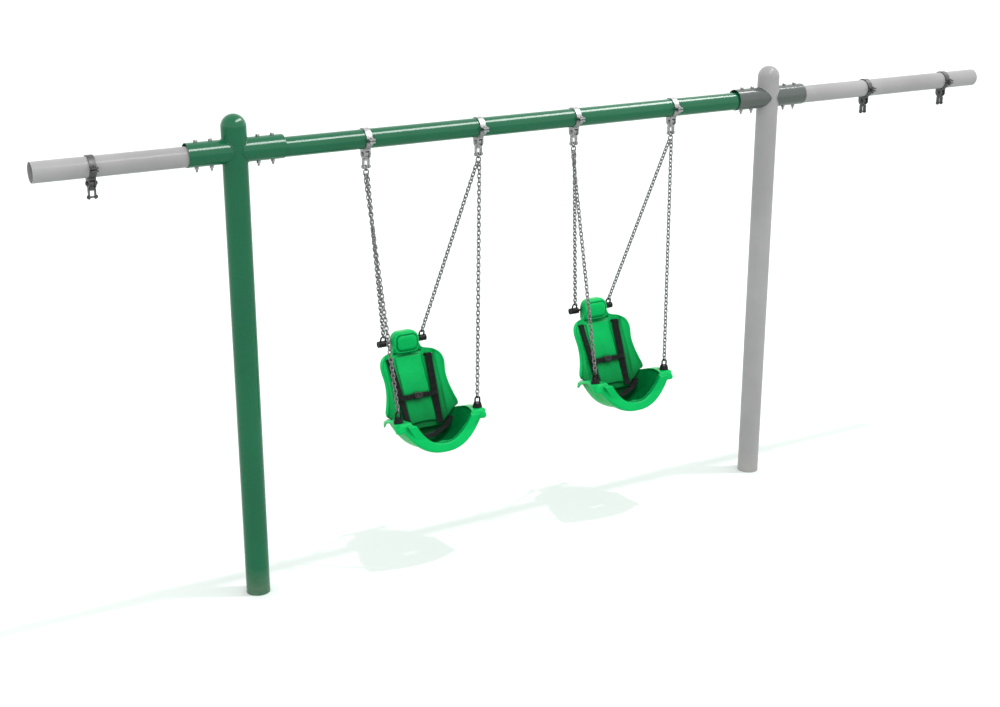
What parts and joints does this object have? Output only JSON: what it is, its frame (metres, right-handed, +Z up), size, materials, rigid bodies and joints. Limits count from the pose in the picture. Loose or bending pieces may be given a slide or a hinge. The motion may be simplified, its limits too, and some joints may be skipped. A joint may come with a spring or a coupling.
{
  "type": "swing set",
  "caption": "Playground swing bay: posts with through sleeves carry a top rail; moulded harness seats hang on chains from pivoting hangers, and cut rails run on to the next bays.",
  "frame": {"origin": "on the ground, midway between the two posts", "axes": "+X along the top rail towards the longer neighbour rail, +Z up, -Y the way a seated child faces"},
  "size_m": [6.04, 0.5429, 2.5685],
  "materials": {
    "green_paint": "gloss",
    "grey_paint": "satin",
    "dark_grey_paint": "satin",
    "galvanised": "satin",
    "seat_plastic": "satin",
    "black_coat": "satin",
    "webbing": "matte",
    "buckle_plastic": "satin",
    "button_plastic": "satin",
    "bushing": "satin"
  },
  "bodies": {
    "frame": {"left_post": "green_paint", "left_post_cap": "green_paint", "left_sleeve": "green_paint", "right_post": "grey_paint", "right_post_cap": "grey_paint", "right_sleeve": "dark_grey_paint", "top_rail": "green_paint", "left_neighbour_rail": "grey_paint", "right_neighbour_rail": "grey_paint", "sleeve_bolts": "galvanised", "sleeve_nuts": "galvanised", "clamp_caps": "galvanised", "clamp_yokes": "galvanised", "clamp_bolts": "galvanised", "clamp_nuts": "galvanised", "pivot_bolts": "galvanised", "pivot_nuts": "galvanised"},
    "left_pendulums": {"left_swing_pendulums": "galvanised", "left_swing_bushings": "bushing", "left_swing_clevis_bolts": "galvanised", "left_swing_clevis_nuts": "galvanised"},
    "left_swing": {"left_swing_seat_pan": "seat_plastic", "left_swing_seat_back": "seat_plastic", "left_swing_seat_screws": "galvanised", "left_swing_chain_eyes": "black_coat", "left_swing_rear_rod": "black_coat", "left_swing_eye_nuts": "galvanised", "left_swing_chains": "galvanised", "left_swing_shoulder_straps": "webbing", "left_swing_lap_strap": "webbing", "left_swing_chest_straps": "webbing", "left_swing_buckle_body": "buckle_plastic", "left_swing_buckle_tongue": "buckle_plastic"},
    "left_buckle_button": {"left_swing_buckle_button": "button_plastic"},
    "right_pendulums": {"right_swing_pendulums": "galvanised", "right_swing_bushings": "bushing", "right_swing_clevis_bolts": "galvanised", "right_swing_clevis_nuts": "galvanised"},
    "right_swing": {"right_swing_seat_pan": "seat_plastic", "right_swing_seat_back": "seat_plastic", "right_swing_seat_screws": "galvanised", "right_swing_chain_eyes": "black_coat", "right_swing_rear_rod": "black_coat", "right_swing_eye_nuts": "galvanised", "right_swing_chains": "galvanised", "right_swing_shoulder_straps": "webbing", "right_swing_lap_strap": "webbing", "right_swing_chest_straps": "webbing", "right_swing_buckle_body": "buckle_plastic", "right_swing_buckle_tongue": "buckle_plastic"},
    "right_buckle_button": {"right_swing_buckle_button": "button_plastic"},
    "spare_hanger_1": {"spare_hanger_1_pendulum": "grey_paint", "spare_hanger_1_bushing": "bushing", "spare_hanger_1_clevis_bolt": "galvanised"},
    "spare_hanger_2": {"spare_hanger_2_pendulum": "grey_paint", "spare_hanger_2_bushing": "bushing", "spare_hanger_2_clevis_bolt": "galvanised"},
    "spare_hanger_3": {"spare_hanger_3_pendulum": "grey_paint", "spare_hanger_3_bushing": "bushing", "spare_hanger_3_clevis_bolt": "galvanised"}
  },
  "joints": [
    {"name": "left_hanger_pivot", "type": "hinge", "parent": "frame", "child": "left_pendulums", "pos_m": [-0.637, 0, 2.301], "axis": [1, 0, 0], "range_deg": [-60, 60]},
    {"name": "left_chain_pivot", "type": "hinge", "parent": "left_pendulums", "child": "left_swing", "pos_m": [-0.637, 0, 2.235], "axis": [1, 0, 0], "range_deg": [-20, 20]},
    {"name": "left_buckle_press", "type": "slide", "parent": "left_swing", "child": "left_buckle_button", "axis": [0, 0.8704, -0.4924], "range_m": [0, 0.003], "stiffness_N_per_m": 400, "springref_m": -0.002},
    {"name": "right_hanger_pivot", "type": "hinge", "parent": "frame", "child": "right_pendulums", "pos_m": [0.637, 0, 2.301], "axis": [1, 0, 0], "range_deg": [-60, 60]},
    {"name": "right_chain_pivot", "type": "hinge", "parent": "right_pendulums", "child": "right_swing", "pos_m": [0.637, 0, 2.235], "axis": [1, 0, 0], "range_deg": [-20, 20]},
    {"name": "right_buckle_press", "type": "slide", "parent": "right_swing", "child": "right_buckle_button", "axis": [0, 0.8704, -0.4924], "range_m": [0, 0.003], "stiffness_N_per_m": 400, "springref_m": -0.002},
    {"name": "spare_hanger_1_pivot", "type": "hinge", "parent": "frame", "child": "spare_hanger_1", "pos_m": [-2.393, 0, 2.301], "axis": [1, 0, 0], "range_deg": [-60, 60]},
    {"name": "spare_hanger_2_pivot", "type": "hinge", "parent": "frame", "child": "spare_hanger_2", "pos_m": [2.445, 0, 2.301], "axis": [1, 0, 0], "range_deg": [-60, 60]},
    {"name": "spare_hanger_3_pivot", "type": "hinge", "parent": "frame", "child": "spare_hanger_3", "pos_m": [3.104, 0, 2.301], "axis": [1, 0, 0], "range_deg": [-60, 60]}
  ]
}
